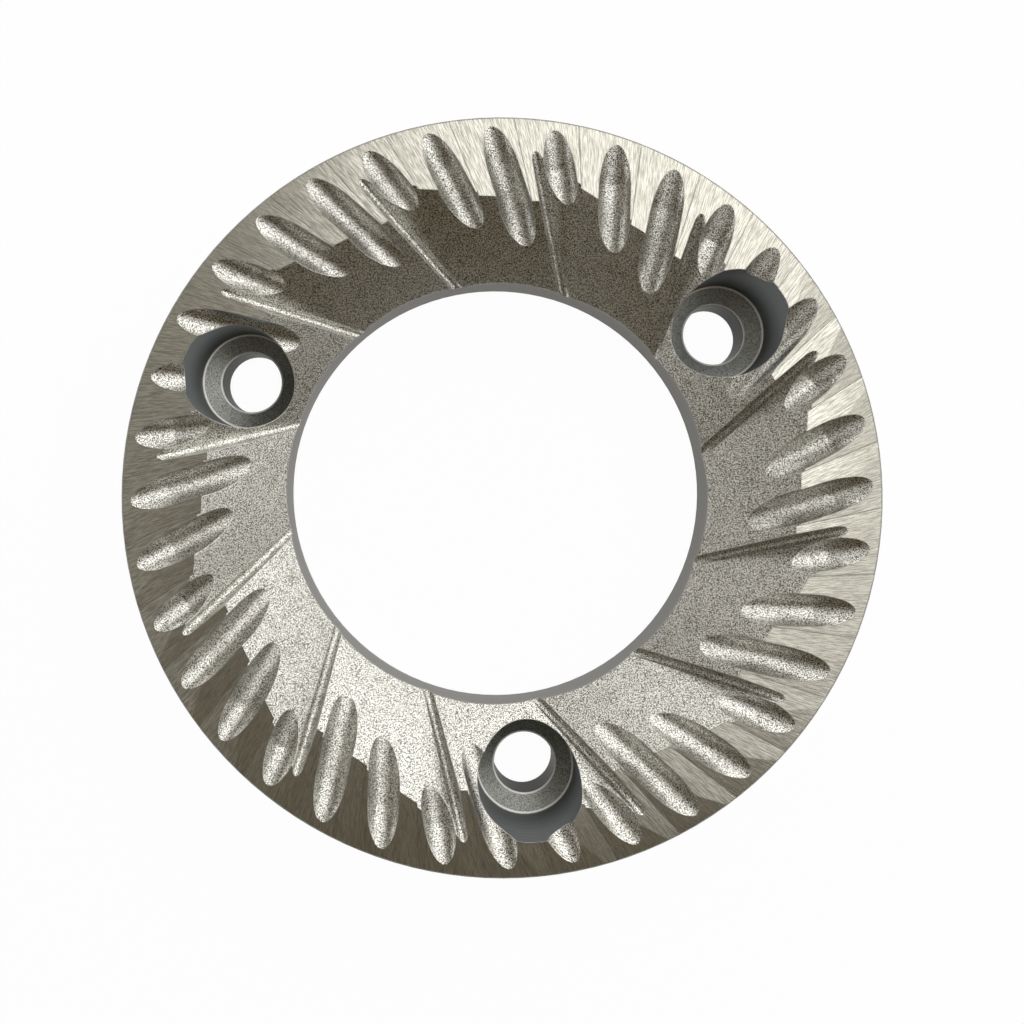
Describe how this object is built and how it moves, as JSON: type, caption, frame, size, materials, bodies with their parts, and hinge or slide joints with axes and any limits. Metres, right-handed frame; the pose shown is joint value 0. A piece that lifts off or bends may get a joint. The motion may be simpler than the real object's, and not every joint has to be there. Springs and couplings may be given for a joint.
{
  "type": "coffee grinder burr",
  "caption": "Flat ring burr with slanted round-bottomed flutes, a stepped dish round the bore and recessed screw holes.",
  "frame": {"origin": "axis of the ring, on the flat back face", "axes": "+Z along the ring's axis, from the back face towards the teeth; one screw hole lies on -Y"},
  "size_m": [0.064, 0.064, 0.009],
  "materials": {
    "ground_steel": "hardened tool steel, brushed on the lands and matt in the dish and flutes"
  },
  "bodies": {
    "root": {"burr_ring": "ground_steel"}
  },
  "joints": []
}
